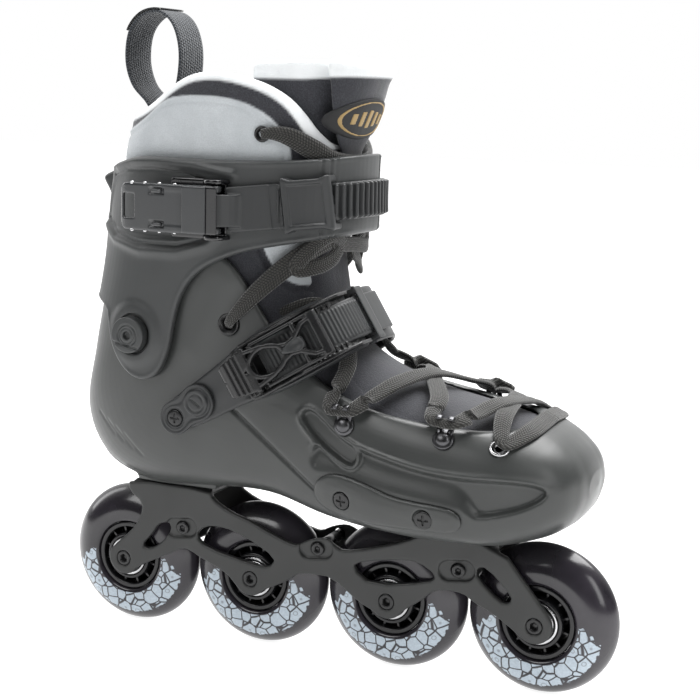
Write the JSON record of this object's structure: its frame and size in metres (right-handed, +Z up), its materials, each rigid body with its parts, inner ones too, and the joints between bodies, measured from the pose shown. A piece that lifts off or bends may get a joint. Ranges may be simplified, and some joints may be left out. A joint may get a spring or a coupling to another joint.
{
  "type": "inline skate",
  "caption": "Freeskating inline skate for the right foot: moulded shell, flexing cuff, laced and buckled padded liner, and an aluminium frame with wheels in line.",
  "frame": {"origin": "on the ground, in the frame's middle plane, half way between the first and last axles", "axes": "+X to the toe, +Y to the inner (medial) side, +Z up"},
  "size_m": [0.323, 0.1229, 0.3458],
  "materials": {
    "frame_aluminium": "dark satin anodised",
    "dark_steel": "gunmetal",
    "bright_steel": "polished",
    "shell_plastic": "satin charcoal, moulded",
    "cuff_plastic": "fine matt charcoal",
    "strap_plastic": "matt dark grey",
    "buckle_gloss": "gloss black",
    "liner_fabric": "pale grey panel with black and white edges",
    "black_fabric": "black knit and webbing",
    "lace_cord": "black braid",
    "footbed_foam": "grey foam with a cloth face",
    "tyre_urethane": "smoky urethane with a pale printed band",
    "hub_plastic": "black nylon"
  },
  "bodies": {
    "boot": {"frame": "frame_aluminium", "cross_brace_1": "dark_steel", "cross_brace_2": "dark_steel", "cross_brace_3": "dark_steel", "frame_bolt_1": "bright_steel", "frame_bolt_2": "bright_steel", "axle_1": "dark_steel", "axle_2": "dark_steel", "axle_3": "dark_steel", "axle_4": "dark_steel", "shell": "shell_plastic", "side_guard_lateral": "strap_plastic", "side_guard_medial": "strap_plastic", "guard_screw_1": "dark_steel", "guard_screw_2": "dark_steel", "toe_eyelet_lateral": "bright_steel", "ankle_eyelet_lateral": "dark_steel", "lace_hook_lateral_1": "dark_steel", "lace_hook_lateral_2": "dark_steel", "cuff_pivot_lateral": "strap_plastic", "toe_eyelet_medial": "bright_steel", "ankle_eyelet_medial": "dark_steel", "lace_hook_medial_1": "dark_steel", "lace_hook_medial_2": "dark_steel", "cuff_pivot_medial": "strap_plastic", "liner": "liner_fabric", "tongue": "black_fabric", "footbed": "footbed_foam", "lace": "lace_cord", "instep_arm": "strap_plastic", "instep_arm_medial": "strap_plastic", "instep_anchor_cover": "strap_plastic", "instep_anchor_screw": "dark_steel", "instep_ladder": "strap_plastic", "instep_buckle_frame": "strap_plastic"},
    "wheel_1": {"tyre_1": "tyre_urethane", "hub_1": "hub_plastic", "bearing_lateral_1": "bright_steel", "bearing_medial_1": "bright_steel"},
    "wheel_2": {"tyre_2": "tyre_urethane", "hub_2": "hub_plastic", "bearing_lateral_2": "bright_steel", "bearing_medial_2": "bright_steel"},
    "wheel_3": {"tyre_3": "tyre_urethane", "hub_3": "hub_plastic", "bearing_lateral_3": "bright_steel", "bearing_medial_3": "bright_steel"},
    "wheel_4": {"tyre_4": "tyre_urethane", "hub_4": "hub_plastic", "bearing_lateral_4": "bright_steel", "bearing_medial_4": "bright_steel"},
    "cuff": {"cuff": "cuff_plastic", "cuff_ladder": "strap_plastic", "cuff_buckle_base": "buckle_gloss", "pull_loop": "black_fabric", "collar_lace": "lace_cord"},
    "cuff_lever": {"cuff_buckle_lever": "buckle_gloss"},
    "cuff_catch": {"cuff_buckle_catch": "strap_plastic"},
    "instep_lever": {"instep_buckle_lever": "strap_plastic"},
    "instep_trigger": {"instep_buckle_trigger": "strap_plastic"}
  },
  "joints": [
    {"name": "wheel_1_spin", "type": "hinge", "parent": "boot", "child": "wheel_1", "pos_m": [-0.1215, 0, 0.04], "axis": [0, 1, 0], "continuous": true},
    {"name": "wheel_2_spin", "type": "hinge", "parent": "boot", "child": "wheel_2", "pos_m": [-0.0405, 0, 0.04], "axis": [0, 1, 0], "continuous": true},
    {"name": "wheel_3_spin", "type": "hinge", "parent": "boot", "child": "wheel_3", "pos_m": [0.0405, 0, 0.04], "axis": [0, 1, 0], "continuous": true},
    {"name": "wheel_4_spin", "type": "hinge", "parent": "boot", "child": "wheel_4", "pos_m": [0.1215, 0, 0.04], "axis": [0, 1, 0], "continuous": true},
    {"name": "cuff_flex", "type": "hinge", "parent": "boot", "child": "cuff", "pos_m": [-0.095, 0, 0.176], "axis": [0, 1, 0], "range_deg": [-3, 9], "deforming": ["liner", "tongue", "lace"]},
    {"name": "cuff_lever_hinge", "type": "hinge", "parent": "cuff", "child": "cuff_lever", "pos_m": [-0.042, -0.058, 0.2445], "axis": [0, 0, 1], "range_deg": [0, 95]},
    {"name": "cuff_catch_hinge", "type": "hinge", "parent": "cuff_lever", "child": "cuff_catch", "pos_m": [-0.049, -0.0594, 0.2445], "axis": [0, 0, 1], "range_deg": [-95, 0]},
    {"name": "instep_lever_hinge", "type": "hinge", "parent": "boot", "child": "instep_lever", "pos_m": [0.01321, -0.04616, 0.18599], "axis": [-0.5299, 0, 0.848], "range_deg": [0, 55]},
    {"name": "instep_trigger_hinge", "type": "hinge", "parent": "instep_lever", "child": "instep_trigger", "pos_m": [0.00354, -0.05003, 0.17995], "axis": [-0.5299, 0, 0.848], "range_deg": [0, 12], "stiffness_Nm_per_rad": 0.02, "springref_deg": -5.73}
  ],
  "couplings": [
    {"joint": "cuff_catch_hinge", "follows": "cuff_lever_hinge", "ratio": -1}
  ]
}
